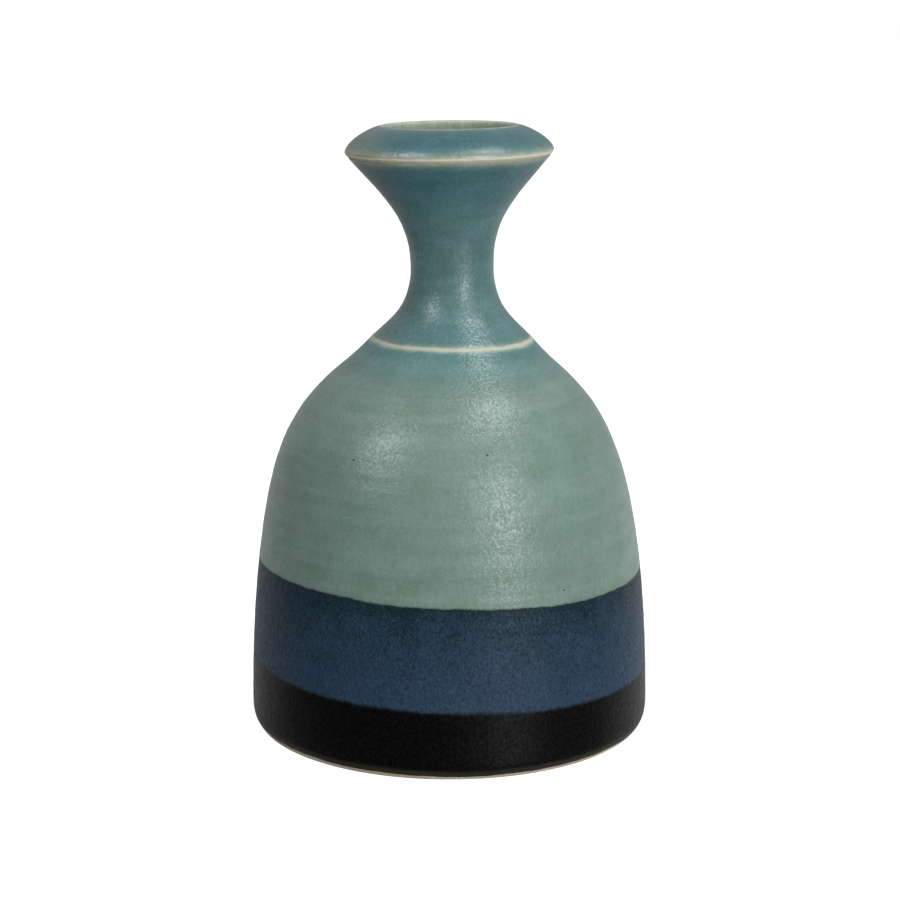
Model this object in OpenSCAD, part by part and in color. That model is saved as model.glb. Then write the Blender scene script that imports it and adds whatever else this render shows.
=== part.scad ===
// Stoneware bud vase: a thrown bell-shaped body and a thrown neck, luted together with slip at
// the shoulder, then glazed inside and dipped outside in five coats. The foot is left bare.
// Every solid is turned about Z from one outline, with the foot's face at z = 0.

/* [Body] */
// Widest diameter, just above the foot
belly_d = 101; // [96:0.2:106]
// Height at which the wall is widest
belly_z = 4.5; // [3.5:0.5:7]
// Diameter at the haunch, where the wall starts to lean in quickly
haunch_d = 90.4; // [86:0.2:93]
// Height of the haunch
haunch_z = 60; // [56:1:64]
// Lean of the wall at the haunch, in degrees from upright
haunch_lean = 13; // [10:1:16]
// Diameter at the shoulder line, where body and neck are luted together
shoulder_d = 40; // [37:0.5:44]
// Height of the shoulder line
shoulder_z = 97.8; // [95:0.2:100]
// Lean of the body's wall as it reaches the shoulder line, in degrees from upright
shoulder_lean = 39; // [34:1:44]

/* [Neck] */
// Outside diameter at the narrowest place
throat_d = 20.6; // [18:0.2:26]
// Height of the narrowest place
throat_z = 115.4; // [113:0.2:118]
// Diameter of the sharp edge all round the lip
arris_d = 51.2; // [48:0.2:55]
// Height of that sharp edge
arris_z = 143.8; // [142:0.1:145]
// Height of the blunt face under that edge
edge_h = 0.6; // [0.4:0.1:1]
// Lean of the flare just under the sharp edge, in degrees from upright
flare_lean = 41; // [38:1:44]

/* [Mouth] */
// Diameter of the mouth, at its crest
mouth_d = 33.4; // [31:0.2:36]
// Height of the crest, which is the height of the whole vase
height = 150; // [149:0.5:153]

/* [Clay] */
// Wall thickness at the foot, glazes included
wall_low = 5; // [4:0.1:6]
// Wall thickness in the neck and the lip, glazes included
wall_high = 4.2; // [3.6:0.1:4.6]
// Thickness of the floor over the hollow in the foot
floor_t = 6; // [5:0.5:8]
// Diameter of the face that the vase stands on
foot_d = 98.2; // [94:0.2:99]
// Width of the foot ring
ring_w = 7; // [5:0.5:10]
// Depth of the hollow turned inside the foot ring
hollow_h = 1.6; // [1:0.1:2.5]

/* [Glaze] */
// Thickness of a full coat
coat_t = 0.45; // [0.3:0.05:0.6]
// Thickness of a coat where it has drawn back from an edge
thin_t = 0.12; // [0.08:0.02:0.2]
// Distance over which a coat thins towards an edge
feather = 2.4; // [1.5:0.1:3]
// Height of the line between the sage coat and the blue band
blue_top = 41.5; // [36:0.5:46]
// Height of the line between the blue band and the black band
black_top = 16.7; // [13:0.1:22]
// Height of the bare clay at the foot
bare_foot = 1; // [0.8:0.1:2]
// Height of the bare clay band under the sharp edge of the lip
bare_arris = 1.5; // [1:0.1:2]
// Height of the slip line that shows at the shoulder
slip_h = 1.3; // [1:0.1:1.6]

/* [Hidden] */

$fn = 96;
steps = 14;      // straight pieces in a long curve
few_steps = 8;   // straight pieces in a short one
near = 0.001;    // heights closer than this count as one

belly_r = belly_d / 2;
haunch_r = haunch_d / 2;
shoulder_r = shoulder_d / 2;
throat_r = throat_d / 2;
arris_r = arris_d / 2;
mouth_r = mouth_d / 2;
foot_r = foot_d / 2;

// Leans of the outline from upright, where no dimension above gives one
foot_lean = 45;   // as it leaves the face that the vase stands on
belly_lean = 0.6; // just above the widest place
neck_lean = 36;   // of the neck as it leaves the shoulder line
lip_lean = 4;     // of the lip just above the sharp edge
crest_lean = 82;  // of the lip as it reaches the crest

// Fullness of each curve: its lower and upper handle, as shares of its rise
foot_pull = [0.3, 0.4];
belly_pull = [0.48, 0.2];
haunch_pull = [0.69, 0.32];
neck_pull = [0.19, 0.66];
flare_pull = [0.43, 0.53];
lip_pull = [0.39, 0.49];
undercut_pull = [0.38, 0.51];

neck_inset = 0.85; // how far the neck's base stands in from the shoulder line
neck_lift = 0.65;  // how far it stands above that line
edge_inset = 0.15; // how far the blunt face under the sharp edge leans in

rim_r = 0.8;          // radius of the rolled edge inside the mouth's crest
rim_steps = 4;        // straight pieces in that edge
rim_share = 0.3;      // share of the liner's thickness that is left at the crest
undercut_depth = 9.6; // how far under the crest the wall inside turns back
corner_r = 9;         // size of the curve between floor and wall inside
corner_share = 0.4;   // where that curve's handles lie between corner and end

slip_depth = 1.6;    // how far the slip reaches into the joint
slip_proud = 0.25;   // how far the slip stands out of the shoulder
spigot_h = 1.6;      // step that centres the neck in the body at the joint
spigot_share = 0.45; // where that step lies between the wall's inside and the slip

// A point at a distance from another, in a direction that leans outwards from upright
function aim(from, lean, dist) = from + dist * [sin(lean), cos(lean)];

// Cubic curve through a and d, with b and c as its handles
function bezier(a, b, c, d, t) =
    pow(1 - t, 3) * a + 3 * pow(1 - t, 2) * t * b + 3 * (1 - t) * t * t * c + pow(t, 3) * d;
function curve(a, b, c, d, n = steps) = [for (i = [0:n]) bezier(a, b, c, d, i / n)];

// Rising curve that leaves a with one lean and reaches b with another
function sweep(a, lean_a, b, lean_b, pull, n = steps) =
    let (rise = b.y - a.y)
    curve(a, aim(a, lean_a, pull[0] * rise), aim(b, lean_b, -pull[1] * rise), b, n);

function tail(pts) = [for (i = [1:len(pts) - 1]) pts[i]];
function flip(pts) = [for (i = [len(pts) - 1:-1:0]) pts[i]];

// Outline of the outside, from the foot up to the crest of the mouth
foot = [foot_r, 0];
belly = [belly_r, belly_z];
haunch = [haunch_r, haunch_z];
shoulder = [shoulder_r, shoulder_z];
neck_base = shoulder + [-neck_inset, neck_lift];
throat = [throat_r, throat_z];
edge = [arris_r - edge_inset, arris_z - edge_h];
arris = [arris_r, arris_z];
crest = [mouth_r, height];

foot_curve = sweep(foot, foot_lean, belly, 0, foot_pull, few_steps);
belly_curve = sweep(belly, -belly_lean, haunch, -haunch_lean, belly_pull);
haunch_curve = sweep(haunch, -haunch_lean, shoulder, -shoulder_lean, haunch_pull);
neck_curve = sweep(neck_base, -neck_lean, throat, 0, neck_pull);
flare_curve = sweep(throat, 0, edge, flare_lean, flare_pull);
lip_curve = sweep(arris, -lip_lean, crest, -crest_lean, lip_pull);
outside = concat(
    foot_curve, tail(belly_curve), tail(haunch_curve), neck_curve,
    tail(flare_curve), lip_curve);

// Unit normal of a rising outline at one of its points, pointing away from the axis
function normal_at(pts, i) =
    let (d = pts[min(i + 1, len(pts) - 1)] - pts[max(i - 1, 0)])
    [d.y, -d.x] / norm(d);

// Thickness of the wall and of the outer coats, each by height. A coat is thinnest at a bare edge
bare = [0, shoulder_z, arris_z - bare_arris / 3, height];
function wall_at(z) = wall_low + (wall_high - wall_low) * min(1, z / shoulder_z);
function coat_at(z) =
    thin_t + (coat_t - thin_t) * min(1, min([for (b = bare) abs(z - b)]) / feather);
clay = [for (i = [0:len(outside) - 1])
    outside[i] - coat_at(outside[i].y) * normal_at(outside, i)];

// Outline of the inside, from the middle of the floor up to the crest of the mouth
floor_z = hollow_h + floor_t;
corner_top = floor_z + corner_r;
undercut_z = height - undercut_depth;
wall_inside = [for (i = [0:len(outside) - 1])
    outside[i] - wall_at(outside[i].y) * normal_at(outside, i)];
inside_wall = [for (p = wall_inside) if (p.y > corner_top && p.y < undercut_z) p];
low = inside_wall[0];
high = inside_wall[len(inside_wall) - 1];
corner = [low.x, floor_z];
rim_in = [mouth_r - rim_r, height - rim_r];
corner_curve = curve(
    corner - [corner_r, 0], corner - [corner_share * corner_r, 0],
    corner + [0, corner_share * corner_r], low, few_steps);
undercut_curve = sweep(high, flare_lean, rim_in, 0, undercut_pull, few_steps);
rim_curve = [for (i = [rim_steps:-1:0])
    let (turn = 90 * i / rim_steps)
    crest + rim_r * [-sin(turn), cos(turn) - 1]];
inside = concat(
    [[0, floor_z]], corner_curve, tail(inside_wall), tail(undercut_curve),
    tail(rim_curve));

// The clay under the liner: the same outline moved into the wall and down into the floor
lined = [for (i = [0:len(inside) - 1])
    let (share = min(1, rim_share + (1 - rim_share) * (height - inside[i].y) / feather))
    inside[i].x == 0 ? [0, floor_z - coat_t]
    : inside[i] + coat_t * share * normal_at(inside, i)];

// The stretch of a rising outline between two heights, with an end point made at each height
function at_height(pts, z) =
    let (i = [for (k = [0:len(pts) - 2]) if (pts[k].y <= z && pts[k + 1].y > z) k][0],
         a = pts[i], b = pts[i + 1])
    a + (b - a) * (z - a.y) / (b.y - a.y);
function between(pts, z0, z1) = concat(
    [at_height(pts, z0)],
    [for (p = pts) if (p.y > z0 + near && p.y < z1 - near) p],
    [at_height(pts, z1)]);
function above(pts, z) = concat(
    [at_height(pts, z)], [for (p = pts) if (p.y > z + near) p]);
function below(pts, z) = concat(
    [for (p = pts) if (p.y < z - near) p], [at_height(pts, z)]);

// The joint at the shoulder: a bevel outside for the slip, then a flat, a step and a flat
slip_low = shoulder_z - slip_h / 2;
slip_high = shoulder_z + slip_h / 2;
groove = [shoulder_r - slip_depth, shoulder_z];
seat_in = at_height(lined, shoulder_z - spigot_h);
step_r = seat_in.x + spigot_share * (groove.x - seat_in.x);
joint = [
    groove, [step_r, shoulder_z], [step_r, shoulder_z - spigot_h], seat_in
];

module turned(pts) {
    rotate_extrude() polygon(pts);
}

// A coat on the outside between two heights
module outer_coat(z0, z1) {
    turned(concat(between(outside, z0, z1), flip(between(clay, z0, z1))));
}

// Thrown bell with its floor, trimmed foot ring and the lower half of the joint
module body_section() {
    color("#b9a68c")
        turned(concat(
            [[0, hollow_h], [foot_r - ring_w - hollow_h, hollow_h], [foot_r - ring_w, 0]],
            [[clay[0].x, 0]], tail(below(clay, slip_low)), joint,
            flip(below(lined, shoulder_z - spigot_h - near))));
}

// Thrown neck and flared lip, with the spigot that seats in the body
module neck_section() {
    color("#c3bfa4")
        turned(concat(
            above(clay, slip_high), flip(above(lined, shoulder_z - spigot_h + near)),
            flip(joint)));
}

// Fillet of pale slip in the joint, whose crest shows as the line at the shoulder
module luting_slip() {
    low_end = at_height(clay, slip_low);
    high_end = at_height(clay, slip_high);
    crest_mid = shoulder + slip_proud * [cos(shoulder_lean), sin(shoulder_lean)];
    color("#cfcbb8")
        turned([groove, low_end, at_height(outside, slip_low), crest_mid,
            at_height(outside, slip_high), high_end]);
}

// Poured coat over the whole inside, up to the crest of the mouth
module liner_glaze() {
    color("#8a927a")
        turned(concat(inside, flip(lined)));
}

// Teal coat over the turned-in top of the lip
module lip_glaze() {
    color("#4f7a80")
        turned(concat(above(outside, arris_z), flip(above(clay, arris_z))));
}

// Teal coat on the flare and the neck
module neck_glaze() {
    color("#547a7e")
        outer_coat(slip_high, arris_z - bare_arris);
}

// Sage coat from the shoulder line down to the blue band
module sage_glaze() {
    color("#779188")
        outer_coat(blue_top, slip_low);
}

// Speckled blue band
module blue_band_glaze() {
    color("#33486a")
        outer_coat(black_top, blue_top);
}

// Satin black band down to the bare clay of the foot
module black_band_glaze() {
    color("#15181a")
        outer_coat(bare_foot, black_top);
}

body_section();
neck_section();
luting_slip();
liner_glaze();
lip_glaze();
neck_glaze();
sage_glaze();
blue_band_glaze();
black_band_glaze();
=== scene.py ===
"""Stoneware bud vase around its CAD frame: thrown clay, pale slip and banded satin glazes."""

import math

import bpy
import numpy as np
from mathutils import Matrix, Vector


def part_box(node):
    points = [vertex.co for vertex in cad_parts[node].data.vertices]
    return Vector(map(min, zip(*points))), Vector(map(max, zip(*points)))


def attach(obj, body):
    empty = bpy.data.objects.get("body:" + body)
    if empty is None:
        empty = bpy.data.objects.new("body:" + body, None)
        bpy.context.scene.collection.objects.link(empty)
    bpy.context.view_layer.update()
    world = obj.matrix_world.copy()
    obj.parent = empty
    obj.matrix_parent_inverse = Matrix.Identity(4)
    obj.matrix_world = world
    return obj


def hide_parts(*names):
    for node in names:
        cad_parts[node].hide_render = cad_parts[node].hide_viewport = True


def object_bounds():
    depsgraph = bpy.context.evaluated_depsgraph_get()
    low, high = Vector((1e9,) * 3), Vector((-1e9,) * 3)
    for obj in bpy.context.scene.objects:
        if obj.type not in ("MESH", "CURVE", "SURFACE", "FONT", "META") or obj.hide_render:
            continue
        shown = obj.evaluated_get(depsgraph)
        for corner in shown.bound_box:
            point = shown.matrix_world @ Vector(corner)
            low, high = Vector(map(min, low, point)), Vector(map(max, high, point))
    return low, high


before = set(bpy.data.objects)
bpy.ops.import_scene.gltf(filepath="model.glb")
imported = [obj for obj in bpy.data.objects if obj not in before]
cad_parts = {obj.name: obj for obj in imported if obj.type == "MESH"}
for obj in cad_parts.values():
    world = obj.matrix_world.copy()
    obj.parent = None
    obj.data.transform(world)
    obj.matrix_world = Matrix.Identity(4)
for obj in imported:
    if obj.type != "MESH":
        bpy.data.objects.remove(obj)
cad_low, cad_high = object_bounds()

# ---------------------------------------------------------------- sizes, in millimetres
MM = 0.001
SEGMENTS = 384  # around the axis, the same in every piece so that edges meet


def side(node, corner, axis):
    """One coordinate of a CAD node's box, in millimetres."""
    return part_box(node)[corner][axis] / MM


# R is a radius, Z a height and LEAN an angle from upright, in degrees
LOW, HIGH, X, Z = 0, 1, 0, 2
HEIGHT = cad_high[Z] / MM
BELLY_R = cad_high[X] / MM
BELLY_Z = 4.5
FOOT_R = 49.1
HAUNCH_R, HAUNCH_Z, HAUNCH_LEAN = 45.2, 60.0, 13.0
SHOULDER_R, SHOULDER_LEAN = 20.0, 39.0
SLIP_LOW = side("luting_slip", LOW, Z)
SLIP_HIGH = side("luting_slip", HIGH, Z)
SHOULDER_Z = (SLIP_LOW + SLIP_HIGH) / 2
NECK_R, NECK_Z, NECK_LEAN = 19.15, SHOULDER_Z + 0.65, 36.0
THROAT_R, THROAT_Z = 10.3, 115.4
ARRIS_R = side("lip_glaze", HIGH, X)
ARRIS_Z = side("lip_glaze", LOW, Z)
EDGE_R, EDGE_Z, FLARE_LEAN = ARRIS_R - 0.15, ARRIS_Z - 0.6, 41.0
MOUTH_R = 16.7
BARE_TOP = side("neck_glaze", HIGH, Z)
BLUE_TOP = side("blue_band_glaze", HIGH, Z)
BLACK_TOP = side("black_band_glaze", HIGH, Z)
FOOT_BARE = side("black_band_glaze", LOW, Z)
WALL_LOW, WALL_HIGH = 5.0, 4.2
COAT, THIN, FEATHER = 0.45, 0.12, 2.4
HOLLOW_H, RING_W, FLOOR_Z, CORNER_R = 1.6, 7.0, 7.6, 9.0
RIM_R, UNDERCUT_Z = 0.8, HEIGHT - 9.6
SLIP_DEPTH = 1.6  # how far the slip reaches in from the shoulder
SPIGOT_H = 1.6  # how far the neck's spigot goes down into the body
STEP_OUT = 1.5  # how far the spigot's step lies outside the clay's inner face

# How far the thrown form strays from a true turned one: sideways, and out of level, by height
DRIFT = (
    (0, -0.15), (45, -0.2), (72, -0.5), (86, -0.1), (100, 0.55), (115, 0.55), (130, 0.15), (144, -0.2),
    (150, -0.2),
)
TILT = ((0, 0.0), (60, 0.0), (98, -0.007), (118, 0.004), (144, 0.018), (150, 0.008))
# How far each line between two coats runs out of level, as rise over run
BLUE_SLOPE, BLACK_SLOPE = -0.028, -0.037
# Where along X the lip and the neck start to be painted browner, and where that brown is full
WARM_START_X, WARM_FULL_X = -11, -24
TURN = 2 * math.pi


# ---------------------------------------------------------------- outline
def aim(start, lean, dist):
    """The point at a distance from the start, leaning outwards as it rises."""
    a = math.radians(lean)
    return np.array([start[0] + dist * math.sin(a), start[1] + dist * math.cos(a)])


def curve(a, b, c, d, n):
    """n pieces of a Bezier curve from a to d, pulled by b and c."""
    t = np.linspace(0, 1, n + 1)[:, None]
    a, b, c, d = (np.asarray(p, float) for p in (a, b, c, d))
    return (1 - t) ** 3 * a + 3 * (1 - t) ** 2 * t * b + 3 * (1 - t) * t * t * c + t**3 * d


def sweep(a, lean_a, b, lean_b, pull, n=64):
    """A curve up from a to b with given leans; each pull is a share of the rise."""
    rise = b[1] - a[1]
    return curve(a, aim(a, lean_a, pull[0] * rise), aim(b, lean_b, -pull[1] * rise), b, n)


foot, belly = (FOOT_R, 0.0), (BELLY_R, BELLY_Z)
haunch, shoulder = (HAUNCH_R, HAUNCH_Z), (SHOULDER_R, SHOULDER_Z)
neck_base, throat = (NECK_R, NECK_Z), (THROAT_R, THROAT_Z)
edge, arris, crest = (EDGE_R, EDGE_Z), (ARRIS_R, ARRIS_Z), (MOUTH_R, HEIGHT)
OUT = np.vstack([
    sweep(foot, 45, belly, 0, (0.3, 0.4), 24),
    sweep(belly, -0.6, haunch, -HAUNCH_LEAN, (0.48, 0.2))[1:],
    sweep(haunch, -HAUNCH_LEAN, shoulder, -SHOULDER_LEAN, (0.69, 0.32))[1:],
    sweep(neck_base, -NECK_LEAN, throat, 0, (0.19, 0.66)),
    sweep(throat, 0, edge, FLARE_LEAN, (0.43, 0.53))[1:],
    sweep(arris, -4, crest, -82, (0.39, 0.49), 40),
])


def eased(points, z, reach, blur):
    """The outline with its corner at a height softened over a reach, all in millimetres."""
    length = np.concatenate([[0], np.cumsum(np.linalg.norm(np.diff(points, axis=0), axis=1))])
    weight = np.exp(-0.5 * ((length[:, None] - length[None]) / blur) ** 2) * np.gradient(length)[None]
    soft = weight @ points / weight.sum(1)[:, None]
    share = np.clip(1 - np.abs(points[:, 1] - z) / reach, 0, 1)[:, None]
    return points + share * (soft - points)


OUT = eased(OUT, SHOULDER_Z, 7.0, 1.3)


class Line:
    """A rising outline, read by the length along it or by height."""

    def __init__(self, points):
        self.p = points
        step = np.linalg.norm(np.diff(points, axis=0), axis=1)
        self.s = np.concatenate([[0], np.cumsum(step)])
        d = np.gradient(points, self.s, axis=0)
        d /= np.linalg.norm(d, axis=1)[:, None]
        self.n = np.stack([d[:, 1], -d[:, 0]], 1)

    def at_z(self, z):
        """Length along the line at a height."""
        return np.interp(z, self.p[:, 1], self.s)

    def point(self, s):
        return np.interp(s, self.s, self.p[:, 0]), np.interp(s, self.s, self.p[:, 1])

    def normal(self, s):
        n0, n1 = np.interp(s, self.s, self.n[:, 0]), np.interp(s, self.s, self.n[:, 1])
        size = np.hypot(n0, n1)
        return n0 / size, n1 / size

    def off(self, s, distance):
        """Radius and height at a length, moved outwards by a distance."""
        r, z = self.point(s)
        n0, n1 = self.normal(s)
        return r + distance * n0, z + distance * n1


out_line = Line(OUT)
PHI = np.linspace(0, TURN, SEGMENTS, endpoint=False)


def through(knots, z):
    """Smooth curve through a few (height, value) pairs."""
    k = np.array(knots, float)
    grid = np.linspace(k[0, 0], k[-1, 0], 301)
    v = np.interp(grid, k[:, 0], k[:, 1])
    v = np.convolve(np.pad(v, 12, mode="edge"), np.hanning(25) / np.hanning(25).sum(), "valid")
    return np.interp(z, grid, v)


def warp(r, z, phi=PHI):
    """Millimetres on the turned form to metres on the thrown one."""
    x = r * np.cos(phi) + through(DRIFT, z)
    y = r * np.sin(phi)
    return np.stack(np.broadcast_arrays(x, y, z + through(TILT, z) * r * np.cos(phi)), -1) * MM


def waves(phi, spec):
    """Sum of (waves round the vase, height, turn) sines."""
    return sum(h * np.sin(n * phi + turn) for n, h, turn in spec)


def ridges(z, phi=PHI):
    """Throwing marks: low spiral ridges, uneven in height and spacing."""
    turn = z + 1.9 * phi / TURN
    swell = 0.55 + 0.45 * np.sin(0.21 * z + np.sin(phi))
    a = 0.030 * np.sin(TURN * turn / 3.1 + 0.7 * np.sin(2 * phi + 0.2 * z))
    b = 0.022 * np.sin(TURN * turn / 1.9 + 1.1 * np.sin(phi - 0.13 * z))
    c = 0.045 * np.sin(TURN * turn / 7.3 + 0.6)
    return 0.5 * (swell * (a + b) + c) - 0.05


def coat_at(z):
    """Thickness of the coats, which thin out towards each bare line."""
    bare = np.array([0, SHOULDER_Z, ARRIS_Z - 0.5, HEIGHT])
    gap = np.min(np.abs(np.asarray(z)[..., None] - bare), axis=-1)
    return THIN + (COAT - THIN) * np.minimum(1, gap / FEATHER)


def wall_at(z):
    return WALL_LOW + (WALL_HIGH - WALL_LOW) * np.minimum(1, z / SHOULDER_Z)


# ---------------------------------------------------------------- meshes
def build(name, rows, closed, attrs=None):
    """A mesh from rows of points round the axis.

    closed joins the last row to the first; otherwise each end row closes on the axis.
    """
    rows = [np.asarray(r, float) for r in rows]
    n = len(rows)
    verts = np.concatenate(rows)
    j = np.arange(SEGMENTS)
    k = (j + 1) % SEGMENTS
    faces = []
    last = n if closed else n - 1
    for i in range(last):
        a, b = i * SEGMENTS, ((i + 1) % n) * SEGMENTS
        faces.append(np.stack([a + j, a + k, b + k, b + j], 1))
    faces = [tuple(f) for f in np.concatenate(faces).tolist()]
    if not closed:
        verts = np.concatenate([verts, rows[0].mean(0)[None], rows[-1].mean(0)[None]])
        c0, c1 = len(verts) - 2, len(verts) - 1
        top = (n - 1) * SEGMENTS
        faces += [(c0, int(q), int(p)) for p, q in zip(j, k)]
        faces += [(c1, int(top + p), int(top + q)) for p, q in zip(j, k)]
    mesh = bpy.data.meshes.new(name)
    mesh.from_pydata(verts.tolist(), [], faces)
    mesh.validate()
    for key, values in (attrs or {}).items():
        layer = mesh.attributes.new(key, "FLOAT", "POINT")
        flat = np.concatenate([np.asarray(v, float).ravel() for v in values])
        layer.data.foreach_set("value", np.resize(flat, len(verts)).astype(np.float32))
    tri = verts[[[f[0], f[1], f[2]] for f in faces]]
    quad = [f for f in faces if len(f) == 4]
    rest = verts[[[f[0], f[2], f[3]] for f in quad]]
    tri = np.concatenate([tri, rest])
    volume = np.einsum("ij,ij->i", tri[:, 0], np.cross(tri[:, 1], tri[:, 2])).sum()
    if volume < 0:
        mesh.flip_normals()
    mesh.shade_smooth()
    mesh.set_sharp_from_angle(angle=math.radians(38))
    piece = bpy.data.objects.new(name, mesh)
    bpy.context.collection.objects.link(piece)
    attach(piece, "root")
    return piece


def spread(count):
    """Row places from 0 to 1, closer together towards each end."""
    t = np.linspace(0, 1, count)
    return 0.7 * t + 0.3 * (1 - np.cos(math.pi * t)) / 2


def coat(name, z_low, z_high, count, relief, inner_rows=10):
    """A closed shell on the outside between two wavy heights.

    relief(z, to_low, to_high) is how far its face stands off the outline.
    """
    s_low, s_high = out_line.at_z(z_low), out_line.at_z(z_high)
    rows, to_low, to_high = [], [], []
    for t in spread(count):
        s = s_low + t * (s_high - s_low)
        face = relief(out_line.point(s)[1], s - s_low, s_high - s)
        rows.append(warp(*out_line.off(s, face)))
        to_low.append(s - s_low)
        to_high.append(s_high - s)
    for t in np.linspace(1, 0, inner_rows):
        s = s_low + t * (s_high - s_low)
        rows.append(warp(*out_line.off(s, -coat_at(out_line.point(s)[1]))))
        to_low.append(s - s_low)
        to_high.append(s_high - s)
    return build(name, rows, True, {"to_low": to_low, "to_high": to_high})


def rounded(dist, depth, size):
    """Fall of a face towards a free edge: a quarter round of that depth over that size."""
    u = np.clip(1 - dist / size, 0, 1)
    return depth * (1 - np.sqrt(1 - u * u))


# ---------------------------------------------------------------- lines between the coats
blue_line = BLUE_TOP + BLUE_SLOPE * BELLY_R * np.cos(PHI) + waves(PHI, (
    (2, 0.12, 0.4), (3, 0.16, 1.1), (5, 0.10, 2.0), (8, 0.07, 0.3), (13, 0.05, 4.1), (21, 0.04, 1.7),
    (34, 0.035, 2.6), (57, 0.04, 0.9), (83, 0.035, 5.0), (131, 0.03, 2.2)))
black_line = BLACK_TOP - 0.2 + BLACK_SLOPE * BELLY_R * np.cos(PHI) + waves(PHI, (
    (2, 0.10, 2.2), (3, 0.12, 0.2), (5, 0.08, 3.1), (9, 0.06, 1.3), (14, 0.05, 2.1), (23, 0.04, 0.7),
    (37, 0.04, 3.6), (61, 0.04, 1.9), (89, 0.035, 4.0), (127, 0.03, 0.8)))
foot_line = FOOT_BARE - 0.15 - 0.3 * np.cos(PHI) + waves(PHI, (
    (2, 0.08, 1.0), (3, 0.10, 4.2), (6, 0.06, 0.5), (11, 0.05, 2.7), (19, 0.04, 1.1), (31, 0.03, 3.3),
    (52, 0.03, 0.6)))
slip_low_line = SLIP_LOW + 0.24 - 0.06 * np.cos(PHI) + waves(
    PHI, ((3, 0.06, 0.4), (7, 0.05, 2.2), (16, 0.04, 1.0), (29, 0.03, 3.0)))
slip_high_line = SLIP_HIGH - 0.46 + waves(
    PHI, ((4, 0.05, 1.4), (9, 0.04, 0.2), (18, 0.04, 2.0), (33, 0.03, 4.0)))
bare_line = BARE_TOP + waves(PHI, ((2, 0.08, 0.9), (5, 0.07, 2.9), (12, 0.05, 1.2), (27, 0.04, 0.1)))
LEVEL = np.ones(SEGMENTS)

# ---------------------------------------------------------------- pieces
def away(dist, reach):
    """0 at an edge, rising to 1 away from it."""
    return 1 - np.exp(-dist / reach)


def black_skin(z, lo, hi):
    return ridges(z) * 0.6 - rounded(lo, 0.16, 0.35)


def blue_skin(z, lo, hi):
    return ridges(z) * 0.8 + 0.05 * np.exp(-lo / 0.5) * away(lo, 0.1)


def sage_skin(z, lo, hi):
    """Sinks towards the slip, and ends on the blue band in a low roll."""
    roll = 0.07 * np.exp(-lo / 0.6) * away(lo, 0.12)
    return ridges(z) * away(hi, 1.5) - 0.06 * np.exp(-hi / 0.35) + roll


def neck_skin(z, lo, hi):
    return ridges(z) * 0.8 * away(lo, 1.5) - 0.09 * np.exp(-lo / 0.5) - rounded(hi, 0.05, 0.5)


def lip_skin(z, lo, hi):
    return ridges(z) * 0.3 - 0.02


black = coat("black_coat", foot_line, black_line, 46, black_skin)
blue = coat("blue_coat", black_line, blue_line, 60, blue_skin)
sage = coat("sage_coat", blue_line, slip_low_line, 140, sage_skin)
neck = coat("neck_coat", slip_high_line, bare_line, 110, neck_skin)
lip = coat("lip_coat", ARRIS_Z * LEVEL, (HEIGHT - 0.01) * LEVEL, 40, lip_skin)


def slip_bead():
    """A low ring of slip whose edges lap over the coats on both sides."""
    s0, s1 = out_line.at_z(slip_low_line) - 0.4, out_line.at_z(slip_high_line) + 0.6
    rows, dist = [], []
    for t in np.linspace(0, 1, 19):
        s = s0 + t * (s1 - s0)
        crown = math.sin(math.pi * t)
        face = 0.14 * crown - 0.11 + 0.015 * np.sin(23 * PHI + 5 * t) * crown
        rows.append(warp(*out_line.off(s, face)))
        dist.append(np.minimum(s - s0, s1 - s))
    for t, depth in ((0.85, 0.8), (0.5, 1.5), (0.15, 0.8)):
        s = s0 + t * (s1 - s0)
        rows.append(warp(*out_line.off(s, -depth)))
        dist.append(0 * LEVEL)
    return build("slip_line", rows, True, {"to_edge": dist})


slip = slip_bead()


def inside_line():
    """Outline of the inside, from the floor's middle to the crest."""
    s_all = np.linspace(0, out_line.s[-1], 700)
    z = out_line.point(s_all)[1]
    wr, wz = out_line.off(s_all, -wall_at(z))
    ok = (wz > FLOOR_Z + CORNER_R) & (wz < UNDERCUT_Z) & (z < ARRIS_Z - 2)
    keep = np.stack([wr[ok], wz[ok]], 1)
    keep = keep[np.argsort(keep[:, 1])][::4]
    low, high = keep[0], keep[-1]
    corner = np.array([low[0], FLOOR_Z])
    rim = np.array([MOUTH_R - RIM_R, HEIGHT - RIM_R])
    pull = 0.4 * CORNER_R
    bend = curve(corner - [CORNER_R, 0], corner - [pull, 0], corner + [0, pull], low, 16)
    turn_in = sweep(high, FLARE_LEAN, rim, 0, (0.38, 0.51), 24)
    angle = np.radians(np.linspace(90, 0, 9))
    roll = np.stack([MOUTH_R - RIM_R * np.sin(angle), HEIGHT - RIM_R + RIM_R * np.cos(angle)], 1)
    floor = np.stack([np.linspace(1.0, corner[0] - CORNER_R, 14), np.full(14, FLOOR_Z)], 1)
    return np.vstack([floor, bend[1:], keep[1:], turn_in[1:], roll[1:]])


INSIDE = inside_line()


def line_normals(p):
    """Unit normals of a line of points, on the clay's side."""
    d = np.gradient(p, axis=0)
    d /= np.linalg.norm(d, axis=1)[:, None]
    return np.stack([d[:, 1], -d[:, 0]], 1)


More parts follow.
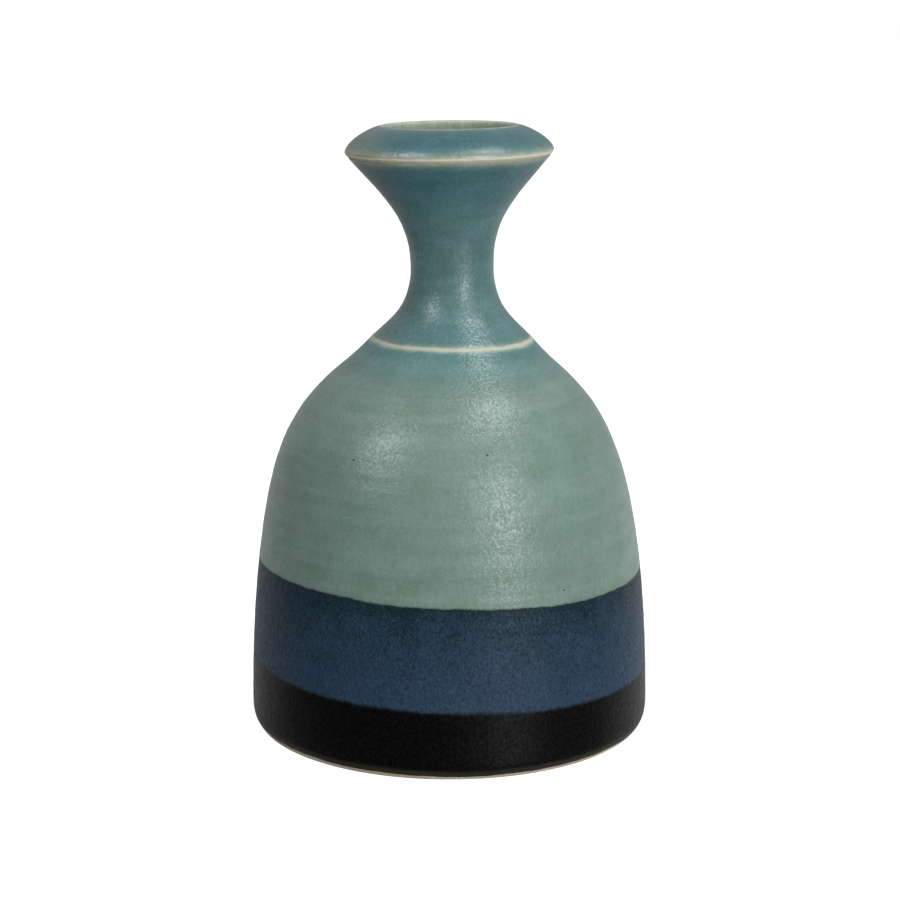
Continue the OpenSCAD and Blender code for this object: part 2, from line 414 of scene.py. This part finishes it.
def liner_piece():
    """The poured coat: its face with fine throwing marks, then its back against the clay."""
    rows, height = [], []
    n = line_normals(INSIDE)
    for r, z in INSIDE:
        below_rim = min(1, max(0, (HEIGHT - 1.5 - z) / 4))
        mark = 0.04 * np.sin(TURN * (z + 1.7 * PHI / TURN) / 3.3) * below_rim
        rows.append(warp((r + mark) * LEVEL, z * LEVEL))
        height.append(z * LEVEL)
    back = list(range(len(INSIDE) - 1, -1, -4))
    for i in back + ([0] if back[-1] != 0 else []):
        r, z = INSIDE[i]
        t = COAT * min(1, 0.3 + 0.7 * (HEIGHT - z) / FEATHER)
        rows.append(warp((r + t * n[i, 0]) * LEVEL, (z + t * n[i, 1]) * LEVEL))
        height.append(z * LEVEL)
    return build("liner_coat", rows, False, {"level": height})


liner = liner_piece()


def lined(z_from, z_to, step):
    """The clay's inside, under the liner."""
    n = line_normals(INSIDE)
    t = COAT * np.minimum(1, 0.3 + 0.7 * (HEIGHT - INSIDE[:, 1]) / FEATHER)
    p = INSIDE + t[:, None] * n
    p = p[(INSIDE[:, 1] >= z_from) & (INSIDE[:, 1] <= z_to)]
    return p[::step] if (len(p) - 1) % step == 0 else np.vstack([p[::step], p[-1]])


def clay_rows(z_values, bare_below=None):
    """Points on the clay's outside, under the coats, and nearly flush with them where it is bare."""
    s = out_line.at_z(z_values)
    z = out_line.point(s)[1]
    cover = coat_at(z)
    if bare_below is not None:
        cover = cover * np.clip((z - bare_below) / 0.6, 0.45, 1)
    return np.stack(out_line.off(s, -cover), 1)


def seat(inner_r):
    """The stepped joint between body and neck, from the outside in."""
    step_r = inner_r + STEP_OUT
    groove_r = SHOULDER_R - SLIP_DEPTH
    return [(groove_r, SHOULDER_Z), (step_r, SHOULDER_Z), (step_r, SHOULDER_Z - SPIGOT_H)]


def body_clay():
    """The thrown bell: hollow underside, foot ring, outside, joint, inside and floor."""
    ring_in = FOOT_R - RING_W
    under = [(r, HOLLOW_H) for r in np.linspace(1.0, ring_in - HOLLOW_H - 0.6, 60)]
    step = [
        (ring_in - HOLLOW_H - 0.2, HOLLOW_H - 0.05), (ring_in - 0.35, 0.18), (ring_in - 0.1, 0.03)]
    ring = [(r, 0.0) for r in np.linspace(ring_in + 0.15, FOOT_R - 0.9, 22)]
    low = clay_rows(np.linspace(0.0, 2.0, 14), FOOT_BARE + 0.3)
    up = clay_rows(np.concatenate([np.linspace(2.5, 60, 16), np.linspace(64, SLIP_LOW, 12)]))
    cup = lined(FLOOR_Z + 0.5, SHOULDER_Z - SPIGOT_H, 5)[::-1]
    joint = seat(cup[0][0])
    floor = [(r, FLOOR_Z - COAT) for r in (28.0, 14.0, 1.0)]
    pts = np.array(under + step + ring + low.tolist() + up.tolist() + joint + cup.tolist() + floor)
    rows = []
    for i, (r, z) in enumerate(pts):
        cut = 0.0
        if i < len(under):
            cut = 0.06 * np.sin(TURN * (r + 0.9 * PHI / TURN) / 1.6) + 0.05 * np.sin(TURN * r / 5.1)
        elif i < len(under) + len(step) + len(ring):
            cut = 0.012 * np.sin(TURN * (r + 0.5 * PHI / TURN) / 1.1) + 0.012
        rows.append(warp(r * LEVEL, (z + cut) * LEVEL))
    return build("body_clay", rows, False)


def neck_clay():
    """The thrown neck and lip, with the bare band under the lip's sharp edge."""
    flare = np.concatenate([np.linspace(SLIP_HIGH, 138, 24), np.linspace(139, BARE_TOP - 0.4, 4)])
    low = clay_rows(flare)
    band = clay_rows(np.linspace(BARE_TOP - 0.2, ARRIS_Z, 20))
    top = clay_rows(np.linspace(ARRIS_Z + 0.3, HEIGHT, 10))
    inner = lined(SHOULDER_Z - SPIGOT_H, HEIGHT, 4)[::-1]
    joint = seat(inner[-1][0])[::-1]
    pts = np.array(low.tolist() + band.tolist() + top.tolist() + inner.tolist() + joint)
    rows, to_arris = [], []
    for r, z in pts:
        in_band = BARE_TOP - 0.3 < z < ARRIS_Z + 0.2 and r > ARRIS_R - 3
        wob = 0.03 * np.sin(31 * PHI + 3 * z) if in_band else 0
        rows.append(warp((r + wob) * LEVEL, z * LEVEL))
        to_arris.append((ARRIS_Z - z) * LEVEL)
    return build("neck_clay", rows, True, {"to_arris": to_arris})


body = body_clay()
upper = neck_clay()


# ---------------------------------------------------------------- materials
def srgb(r, g, b):
    """A display colour, 0 to 255 a channel, as the linear one that a socket takes."""
    c = np.array([r, g, b]) / 255
    lin = np.where(c <= 0.04045, c / 12.92, ((c + 0.055) / 1.055) ** 2.4)
    return (*lin.tolist(), 1.0)


class Paint:
    """A material and short names for its nodes."""

    def __init__(self, name, specular=0.5):
        self.mat = bpy.data.materials.new(name)
        self.mat.use_nodes = True
        self.tree = self.mat.node_tree
        self.shader = self.tree.nodes["Principled BSDF"]
        self.shader.inputs["Specular IOR Level"].default_value = specular
        self.coords = self.node("ShaderNodeTexCoord").outputs["Object"]

    def node(self, kind, **props):
        n = self.tree.nodes.new(kind)
        for key, value in props.items():
            setattr(n, key, value)
        return n

    def join(self, value, socket):
        if isinstance(value, bpy.types.NodeSocket):
            self.tree.links.new(value, socket)
        else:
            socket.default_value = value

    def attr(self, name):
        return self.node("ShaderNodeAttribute", attribute_name=name).outputs["Fac"]

    def noise(self, size, stretch=(1, 1, 1), detail=2.0, rough=0.5, shift=0.0, twist=0.0):
        """Noise whose marks are about size millimetres across, longer along an axis by its stretch."""
        m = self.node("ShaderNodeMapping")
        self.join(self.coords, m.inputs["Vector"])
        m.inputs["Scale"].default_value = [1 / (size * MM * s) for s in stretch]
        m.inputs["Location"].default_value = (shift, shift * 0.7, shift * 1.3)
        n = self.node("ShaderNodeTexNoise")
        self.join(m.outputs["Vector"], n.inputs["Vector"])
        n.inputs["Scale"].default_value = 1.0
        n.inputs["Detail"].default_value = detail
        n.inputs["Roughness"].default_value = rough
        n.inputs["Distortion"].default_value = twist
        return n.outputs["Fac"]

    def calc(self, how, a, b=0.0, c=0.0):
        n = self.node("ShaderNodeMath", operation=how)
        for value, socket in zip((a, b, c), n.inputs):
            self.join(value, socket)
        return n.outputs["Value"]

    def fit(self, value, a, b, c=0.0, d=1.0, smooth=True):
        """value mapped from a..b to c..d and held there."""
        n = self.node("ShaderNodeMapRange", interpolation_type="SMOOTHSTEP" if smooth else "LINEAR")
        for key, v in zip(("Value", "From Min", "From Max", "To Min", "To Max"), (value, a, b, c, d)):
            self.join(v, n.inputs[key])
        return n.outputs["Result"]

    def mix(self, share, a, b, how="MIX"):
        n = self.node("ShaderNodeMix", data_type="RGBA", blend_type=how)
        ins = [s for s in n.inputs if s.type == "RGBA"]
        self.join(share, n.inputs["Factor"])
        self.join(a, ins[0])
        self.join(b, ins[1])
        return [s for s in n.outputs if s.type == "RGBA"][0]

    def ramp(self, value, stops):
        n = self.node("ShaderNodeValToRGB")
        e = n.color_ramp.elements
        while len(e) < len(stops):
            e.new(0.5)
        for item, (place, colour) in zip(e, stops):
            item.position = place
            item.color = colour
        self.join(value, n.inputs["Fac"])
        return n.outputs["Color"]

    def along(self, dist, reach, stops):
        """Colours by distance in millimetres."""
        share = self.calc("DIVIDE", dist, reach)
        return self.ramp(share, [(d / reach, c) for d, c in stops])

    def bump(self, height, depth, normal=None):
        """Bump of a height from 0 to 1, depth in millimetres."""
        n = self.node("ShaderNodeBump")
        n.inputs["Strength"].default_value = 1.0
        n.inputs["Distance"].default_value = depth * MM
        self.join(height, n.inputs["Height"])
        if normal is not None:
            self.join(normal, n.inputs["Normal"])
        return n.outputs["Normal"]

    def finish(self, colour, rough, normal, *pieces):
        self.join(colour, self.shader.inputs["Base Color"])
        self.join(rough, self.shader.inputs["Roughness"])
        self.join(normal, self.shader.inputs["Normal"])
        for piece in pieces:
            piece.data.materials.append(self.mat)


def grey(v):
    return (v, v, v, 1.0)


def satin(p):
    """The skin of a satin glaze: fine orange peel with a finer grain on it."""
    peel = p.noise(0.8, detail=2.0, shift=3.1)
    pits = p.noise(0.42, detail=1.0, shift=7.7)
    return p.bump(pits, 0.045, p.bump(peel, 0.075))


def glaze_rough(p, low, high):
    """Roughness that drifts between two values over the coat."""
    return p.fit(p.noise(1.4, detail=3.0, shift=5.0), 0.3, 0.7, low, high)


def sparkle(p, low, high):
    """Uneven shine: matt crystals break the gloss into grains."""
    grain = p.noise(0.62, (1, 1, 1.3), 2.0, 0.65, 45.0)
    p.join(p.fit(grain, 0.40, 0.62, low, high), p.shader.inputs["Specular IOR Level"])


def mottle(p, colour, amount, shift=0.0):
    """Cloudy, banded and streaked colour, as a fired coat has."""
    cloud = p.noise(9.0, (1, 1, 0.6), 3.0, 0.55, shift)
    band = p.noise(2.6, (14, 14, 1), 2.0, 0.5, shift + 11)
    streak = p.noise(0.8, (1, 1, 7), 2.0, 0.6, shift + 23)
    speck = p.noise(0.7, (1, 1, 1.2), 2.0, 0.7, shift + 37)
    for value, share, lo, hi in (
        (cloud, amount * 1.2, (0.86, 0.90, 0.84, 1), (1.15, 1.11, 1.17, 1)),
        (band, amount * 1.5, (0.90, 0.92, 0.90, 1), (1.10, 1.08, 1.10, 1)),
        (streak, amount * 1.3, (0.92, 0.94, 0.93, 1), (1.09, 1.07, 1.08, 1)),
        (speck, amount * 1.2, (0.90, 0.92, 0.90, 1), (1.12, 1.10, 1.12, 1)),
    ):
        tint = p.ramp(p.fit(value, 0.25, 0.75), [(0, lo), (1, hi)])
        colour = p.mix(share, colour, tint, "MULTIPLY")
    return colour


def flecks(p, colour, tint, cell, size, share):
    """Rare small spots: one in a share of the cells holds a spot of that size, in millimetres."""
    n = p.node("ShaderNodeTexVoronoi")
    p.join(p.coords, n.inputs["Vector"])
    n.inputs["Scale"].default_value = 1 / (cell * MM)
    pick = p.node("ShaderNodeSeparateColor")
    p.join(n.outputs["Color"], pick.inputs["Color"])
    held = p.calc("GREATER_THAN", pick.outputs["Red"], 1 - share)
    spot = p.fit(n.outputs["Distance"], 0.35 * size / cell, 0.6 * size / cell, 1.0, 0.0)
    return p.mix(p.calc("MULTIPLY", held, spot), colour, tint)


def drifting(p, dist, size, amount, shift=0.0, stretch=(1, 1, 1)):
    """A distance made uneven by noise, so that a fade has no straight edge."""
    n = p.noise(size, stretch, 2.0, 0.6, shift)
    return p.calc("ADD", dist, p.fit(n, 0.2, 0.8, -amount, amount, smooth=False))


def warm_side(p):
    """The -X side, where the lip, the neck and the bare band under the lip are painted browner, from 0
    to 1 with an uneven border.
    """
    place = p.node("ShaderNodeSeparateXYZ")
    p.join(p.coords, place.inputs["Vector"])
    waver = p.fit(p.noise(9.0, shift=61.0), 0.2, 0.8, -4 * MM, 4 * MM, smooth=False)
    return p.fit(p.calc("ADD", place.outputs["X"], waver), WARM_START_X * MM, WARM_FULL_X * MM)


def nearer(p, dist, warm_share, reach):
    """A distance to an edge, made less towards -X, so that the pale edge colour reaches further in
    there.
    """
    return p.calc("SUBTRACT", dist, p.calc("MULTIPLY", warm_share, reach))


def browned(p, colour, warm_share, amount):
    """A brown olive colour mixed in towards -X."""
    return p.mix(p.calc("MULTIPLY", warm_share, amount), colour, srgb(112, 122, 106))


def paint_sage():
    p = Paint("sage_glaze_paint")
    sparkle(p, 0.24, 0.95)
    base = srgb(121, 147, 138)
    top = drifting(p, p.attr("to_high"), 1.5, 0.15, 1.0)
    low = drifting(p, p.attr("to_low"), 1.2, 0.12, 2.0)
    colour = p.along(top, 14, [
        (0.0, srgb(172, 182, 165)), (0.35, srgb(128, 160, 150)), (0.9, srgb(92, 134, 134)),
        (2.0, srgb(90, 132, 131)), (5.0, srgb(106, 142, 138)), (9.0, srgb(114, 144, 138)),
        (13.0, base)])
    tail = p.along(low, 6, [
        (0.0, srgb(68, 90, 86)), (0.2, srgb(98, 122, 112)), (0.5, srgb(120, 145, 135)),
        (3.0, srgb(124, 150, 140)), (6.0, base)])
    colour = p.mix(p.fit(low, 3.0, 6.0), tail, colour)
    colour = mottle(p, colour, 0.55)
    colour = flecks(p, colour, srgb(52, 62, 54), 4.5, 0.6, 0.06)
    p.finish(colour, glaze_rough(p, 0.29, 0.37), satin(p), sage)


def paint_blue():
    p = Paint("blue_glaze_paint")
    sparkle(p, 0.1, 0.3)
    low = p.attr("to_low")
    share = p.calc("DIVIDE", low, 25.0)
    wave = p.noise(6.0, (1, 1, 2.5), 3.0, 0.6, 4.0)
    share = p.calc("ADD", share, p.fit(wave, 0.2, 0.8, -0.2, 0.2, smooth=False))
    colour = p.ramp(share, [
        (0.0, srgb(48, 70, 94)), (0.35, srgb(46, 68, 90)), (0.7, srgb(40, 64, 80)),
        (1.0, srgb(24, 48, 58))])
    dash = p.noise(0.5, (1, 1, 1.8), 3.0, 0.75, 9.0)
    spots = p.calc("MULTIPLY", p.fit(dash, 0.42, 0.68), p.fit(share, 0.1, 0.85, 0.6, 0.95))
    colour = p.mix(spots, colour, srgb(14, 30, 46))
    pale = p.noise(0.45, (1, 1, 1.3), 2.0, 0.6, 19.0)
    colour = p.mix(p.fit(pale, 0.52, 0.72, 0.0, 0.35), colour, srgb(72, 104, 126))
    edge = p.fit(drifting(p, p.attr("to_high"), 1.0, 0.25, 28.0), 0.0, 0.8, 0.7, 0.0)
    colour = p.mix(edge, colour, srgb(30, 48, 46))
    foot = p.fit(drifting(p, low, 0.8, 0.35, 18.0), 0.0, 0.9, 0.75, 0.0)
    colour = p.mix(foot, colour, srgb(24, 28, 34))
    colour = mottle(p, colour, 0.5, 50)
    p.finish(colour, glaze_rough(p, 0.38, 0.46), satin(p), blue)


def paint_black():
    p = Paint("black_glaze_paint")
    sparkle(p, 0.15, 0.3)
    low = drifting(p, p.attr("to_low"), 1.5, 0.12, 3.0)
    fleck = p.noise(0.5, (1, 1, 1.4), 3.0, 0.7, 33.0)
    ground = p.mix(p.fit(fleck, 0.4, 0.66), srgb(0, 0, 0), srgb(8, 9, 9))
    # The dark dip about a quarter millimetre above the coat's lower edge is painted shade, the shadow
    # line along that edge; the olive strip above it is the thin coat's own colour
    strip_and_shade_line = p.along(low, 4, [
        (0.0, srgb(44, 38, 30)), (0.25, srgb(30, 28, 24)), (0.4, srgb(50, 49, 42)),
        (1.5, srgb(40, 40, 35)), (2.2, srgb(10, 11, 10))])
    colour = p.mix(p.fit(low, 1.5, 2.4), strip_and_shade_line, ground)
    high = drifting(p, p.attr("to_high"), 0.9, 0.25, 8.0)
    colour = p.mix(p.fit(high, 0.0, 0.6, 0.45, 0.0), colour, srgb(22, 28, 34))
    colour = mottle(p, colour, 0.5, 70)
    p.finish(colour, glaze_rough(p, 0.32, 0.42), satin(p), black)


def paint_neck():
    p = Paint("neck_glaze_paint")
    sparkle(p, 0.33, 1.0)
    # Share towards -X where the neck is painted browner
    warm_share = warm_side(p)
    low = drifting(p, p.attr("to_low"), 1.5, 0.2, 6.0)
    top = nearer(p, drifting(p, p.attr("to_high"), 1.5, 0.3, 12.0), warm_share, 0.55)
    colour = p.along(low, 30, [
        (0.0, srgb(158, 174, 160)), (0.3, srgb(142, 162, 151)), (0.8, srgb(114, 144, 139)),
        (1.6, srgb(94, 131, 131)), (4.0, srgb(88, 126, 128)), (12.0, srgb(92, 126, 126)),
        (22.0, srgb(90, 126, 129)), (30.0, srgb(88, 124, 128))])
    pool = p.along(top, 24, [
        (0.0, srgb(166, 170, 150)), (0.4, srgb(142, 156, 142)), (0.9, srgb(110, 140, 134)),
        (1.6, srgb(82, 124, 130)), (3.0, srgb(70, 114, 122)), (8.0, srgb(72, 116, 124)),
        (13.0, srgb(80, 120, 126)), (18.0, srgb(90, 128, 130)), (24.0, srgb(92, 128, 130))])
    colour = p.mix(p.fit(top, 16, 24), pool, colour)
    colour = browned(p, colour, warm_share, 0.35)
    colour = mottle(p, colour, 0.8, 30)
    p.finish(colour, glaze_rough(p, 0.29, 0.37), satin(p), neck)


def paint_lip():
    p = Paint("lip_glaze_paint")
    sparkle(p, 0.7, 1.15)
    # Share towards -X where the lip is painted browner
    warm_share = warm_side(p)
    low = nearer(p, drifting(p, p.attr("to_low"), 2.0, 0.25, 6.0), warm_share, 0.8)
    top = drifting(p, p.attr("to_high"), 2.0, 0.2, 12.0)
    colour = p.along(low, 12, [
        (0.0, srgb(190, 191, 173)), (0.3, srgb(164, 172, 158)), (0.8, srgb(126, 148, 142)),
        (1.6, srgb(88, 126, 128)), (3.0, srgb(66, 112, 120)), (7.0, srgb(60, 108, 118)),
        (12.0, srgb(70, 114, 120))])
    rim = p.along(top, 2, [
        (0.0, srgb(170, 180, 168)), (0.4, srgb(140, 158, 150)), (0.9, srgb(90, 124, 126)),
        (2.0, srgb(68, 112, 118))])
    colour = p.mix(p.fit(top, 1.0, 2.0), rim, colour)
    colour = browned(p, colour, warm_share, 0.55)
    colour = mottle(p, colour, 0.8, 40)
    p.finish(colour, glaze_rough(p, 0.30, 0.38), satin(p), lip)


def paint_liner():
    p = Paint("liner_glaze_paint", 0.45)
    level = drifting(p, p.attr("level"), 3.0, 0.4, 2.0)
    share = p.calc("DIVIDE", p.calc("SUBTRACT", HEIGHT, level), 20.0)
    colour = p.ramp(share, [
        (0.0, srgb(190, 198, 184)), (0.03, srgb(180, 190, 174)), (0.08, srgb(170, 176, 152)),
        (0.4, srgb(158, 164, 138)), (1.0, srgb(140, 148, 122))])
    colour = mottle(p, colour, 1.0, 90)
    p.finish(colour, glaze_rough(p, 0.42, 0.52), satin(p), liner)


def paint_clay():
    p = Paint("clay_paint", 0.3)
    grain = p.noise(0.35, detail=3.0, rough=0.7, shift=1.0)
    sand = p.noise(0.9, detail=2.0, rough=0.6, shift=5.0)
    colour = p.mix(p.fit(sand, 0.3, 0.7), srgb(208, 192, 166), srgb(228, 214, 192))
    colour = p.mix(p.fit(grain, 0.58, 0.72, 0.0, 0.6), colour, srgb(112, 92, 70))
    toast = p.fit(p.noise(12, detail=2.0, shift=9.0), 0.35, 0.65, 0.0, 0.35)
    colour = p.mix(toast, colour, srgb(150, 124, 96))
    p.finish(colour, p.fit(grain, 0.3, 0.7, 0.72, 0.88), p.bump(grain, 0.03, p.bump(sand, 0.03)), body)


def paint_upper():
    p = Paint("lip_edge_paint", 0.35)
    grain = p.noise(0.35, detail=3.0, rough=0.7, shift=2.0)
    dist = drifting(p, p.attr("to_arris"), 1.5, 0.12, 3.0)
    colour = p.along(dist, 3, [
        (0.0, srgb(232, 229, 212)), (0.5, srgb(227, 224, 205)), (0.8, srgb(208, 206, 184)),
        (1.2, srgb(190, 191, 166)), (3.0, srgb(180, 182, 158))])
    colour = p.mix(p.fit(grain, 0.56, 0.75, 0.0, 0.4), colour, srgb(128, 112, 86))
    # A little brown olive mixed in towards -X, as on the lip and the neck
    colour = browned(p, colour, warm_side(p), 0.12)
    colour = flecks(p, colour, srgb(70, 60, 42), 1.6, 0.5, 0.10)
    p.finish(colour, p.fit(grain, 0.3, 0.7, 0.55, 0.7), p.bump(grain, 0.025), upper)


def paint_slip():
    p = Paint("slip_paint", 0.4)
    grain = p.noise(0.4, detail=3.0, rough=0.7, shift=4.0)
    dist = drifting(p, p.attr("to_edge"), 1.0, 0.12, 5.0)
    colour = p.along(dist, 1, [
        (0.0, srgb(150, 168, 155)), (0.35, srgb(174, 184, 168)), (0.7, srgb(198, 201, 183)),
        (1.0, srgb(206, 207, 189))])
    colour = p.mix(p.fit(grain, 0.58, 0.78, 0.0, 0.35), colour, srgb(150, 140, 112))
    p.finish(colour, p.fit(grain, 0.3, 0.7, 0.5, 0.62), p.bump(grain, 0.02), slip)


paint_sage()
paint_blue()
paint_black()
paint_neck()
paint_lip()
paint_liner()
paint_clay()
paint_upper()
paint_slip()

# ---------------------------------------------------------------- what stands for what: the CAD nodes are hidden
for piece, node, slot in (
    (body, "body_section", "stoneware"),
    (upper, "neck_section", "stoneware"),
    (slip, "luting_slip", "slip"),
    (liner, "liner_glaze", "liner_glaze"),
    (lip, "lip_glaze", "teal_glaze"),
    (neck, "neck_glaze", "teal_glaze"),
    (sage, "sage_glaze", "sage_glaze"),
    (blue, "blue_band_glaze", "blue_glaze"),
    (black, "black_band_glaze", "black_glaze"),
):
    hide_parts(node)

# ---------------------------------------------------------------- floor, light and camera
FLOOR_HALF = 6.0
corners = [(x * FLOOR_HALF, y * FLOOR_HALF, 0) for x, y in ((-1, -1), (1, -1), (1, 1), (-1, 1))]
floor_mesh = bpy.data.meshes.new("floor")
floor_mesh.from_pydata(corners, [], [(0, 1, 2, 3)])
floor = bpy.data.objects.new("floor", floor_mesh)
bpy.context.collection.objects.link(floor)
floor.visible_glossy = False
floor_paint = Paint("floor_paint", 0.0)
floor_paint.shader.inputs["Roughness"].default_value = 1.0
floor_paint.shader.inputs["Base Color"].default_value = grey(0.6)
floor_paint.shader.inputs["Emission Color"].default_value = grey(1.0)
floor_paint.shader.inputs["Emission Strength"].default_value = 0.92
floor.visible_diffuse = False
floor.visible_shadow = False
floor.data.materials.append(floor_paint.mat)


class Sky:
    """Soft light from all round: from above, from behind near the horizon, and a little from below.

    The camera sees plain white instead.
    """

    def __init__(self, **levels):
        self.world = bpy.data.worlds.new("studio")
        bpy.context.scene.world = self.world
        self.world.use_nodes = True
        self.tree = self.world.node_tree
        self.tree.nodes.clear()
        split = self.add("ShaderNodeSeparateXYZ")
        self.link(self.add("ShaderNodeTexCoord").outputs["Generated"], split.inputs["Vector"])
        up = self.fade(split.outputs["Z"], 0.0, 0.6)
        low = self.fade(split.outputs["Z"], 0.05, -0.35)
        back = self.fade(split.outputs["Y"], -0.1, 0.7)
        right = self.fade(split.outputs["X"], -0.5, 0.5)
        table = self.times(back, self.fade(split.outputs["Z"], 0.1, -0.2))
        total = None
        for key, shape in (
            ("up", up),
            ("back", self.times(back, self.fade(split.outputs["Z"], -0.45, -0.1))),
            ("low", low),
            ("table", table),
            ("table_right", self.times(table, right)),
        ):
            part = self.times(shape, levels[key])
            total = part if total is None else self.plus(total, part)
        light = self.add("ShaderNodeBackground")
        self.link(total, light.inputs["Strength"])
        seen = self.add("ShaderNodeBackground")
        seen.inputs["Color"].default_value = grey(1.0)
        both = self.add("ShaderNodeMixShader")
        self.link(self.add("ShaderNodeLightPath").outputs["Is Camera Ray"], both.inputs["Fac"])
        self.link(light.outputs["Background"], both.inputs[1])
        self.link(seen.outputs["Background"], both.inputs[2])
        self.link(both.outputs["Shader"], self.add("ShaderNodeOutputWorld").inputs["Surface"])
        light.inputs["Color"].default_value = grey(1.0)

    def add(self, kind):
        return self.tree.nodes.new(kind)

    def link(self, a, b):
        self.tree.links.new(a, b)

    def math(self, how, a, b):
        n = self.add("ShaderNodeMath")
        n.operation = how
        for v, socket in ((a, n.inputs[0]), (b, n.inputs[1])):
            if isinstance(v, bpy.types.NodeSocket):
                self.link(v, socket)
            else:
                socket.default_value = v
        return n.outputs["Value"]

    def times(self, a, b):
        return self.math("MULTIPLY", a, b)

    def plus(self, a, b):
        return self.math("ADD", a, b)

    def fade(self, value, a, b):
        n = self.add("ShaderNodeMapRange")
        n.interpolation_type = "SMOOTHSTEP"
        self.link(value, n.inputs["Value"])
        if a < b:
            n.inputs["From Min"].default_value, n.inputs["From Max"].default_value = a, b
            return n.outputs["Result"]
        n.inputs["From Min"].default_value, n.inputs["From Max"].default_value = b, a
        n.inputs["To Min"].default_value, n.inputs["To Max"].default_value = 1.0, 0.0
        return n.outputs["Result"]


Sky(up=0.14, back=0.34, low=0.14, table=0.11, table_right=0.2)

AIM = (0.0, 0.0, 0.07)  # the place on the vase that the panels face
PANEL_AWAY = 1.2


def panel(name, azimuth, elevation, width, height, power):
    """A soft rectangular light, in metres and watts. Azimuth 0 is the front, positive to its right."""
    a, e = math.radians(azimuth), math.radians(elevation)
    data = bpy.data.lights.new(name, "AREA")
    data.shape = "RECTANGLE"
    data.size, data.size_y, data.energy = width, height, power
    lamp = bpy.data.objects.new(name, data)
    lamp.location = (
        AIM[0] + PANEL_AWAY * math.sin(a) * math.cos(e),
        AIM[1] - PANEL_AWAY * math.cos(a) * math.cos(e),
        AIM[2] + PANEL_AWAY * math.sin(e))
    lamp.rotation_euler = (math.radians(90) - e, 0, a)
    lamp.visible_camera = False
    bpy.context.collection.objects.link(lamp)


def dome(name, azimuth, elevation, width, power):
    """A very soft light from far away, some degrees wide, which the glaze doesn't mirror."""
    data = bpy.data.lights.new(name, "SUN")
    data.energy = power
    data.angle = math.radians(width)
    lamp = bpy.data.objects.new(name, data)
    lamp.rotation_euler = (math.radians(90 - elevation), 0, math.radians(azimuth))
    lamp.visible_glossy = False
    lamp.visible_camera = False
    bpy.context.collection.objects.link(lamp)


panel("left_window", -54, 43, 0.36, 0.58, 3.6)
panel("right_window_low", 35, 16, 0.36, 0.66, 5.0)
panel("right_window_high", 62, 62, 0.58, 0.42, 4.6)
panel("table_glow", 34, -22, 0.36, 0.36, 0.7)
dome("front_fill", 0, 10, 80, 0.34)
dome("right_fill", 75, 20, 70, 0.07)
dome("low_fill", 48, -28, 90, 0.66)

# The camera, in vase heights: how far in front of the axis, how high, and how far it looks down
CAMERA_AWAY, CAMERA_UP, CAMERA_DOWN = 3.4437, 1.23, 12.622
cam_data = bpy.data.cameras.new("camera")
cam_data.lens = 84.08
cam_data.sensor_width = 36.0
cam_data.clip_start = 0.01
cam = bpy.data.objects.new("camera", cam_data)
cam.location = (0.0, -CAMERA_AWAY * HEIGHT * MM, CAMERA_UP * HEIGHT * MM)
cam.rotation_euler = (math.radians(90 - CAMERA_DOWN), 0, 0)
bpy.context.collection.objects.link(cam)
bpy.context.scene.camera = cam
bpy.context.scene.view_settings.view_transform = "Standard"
bpy.context.scene.view_settings.look = "None"
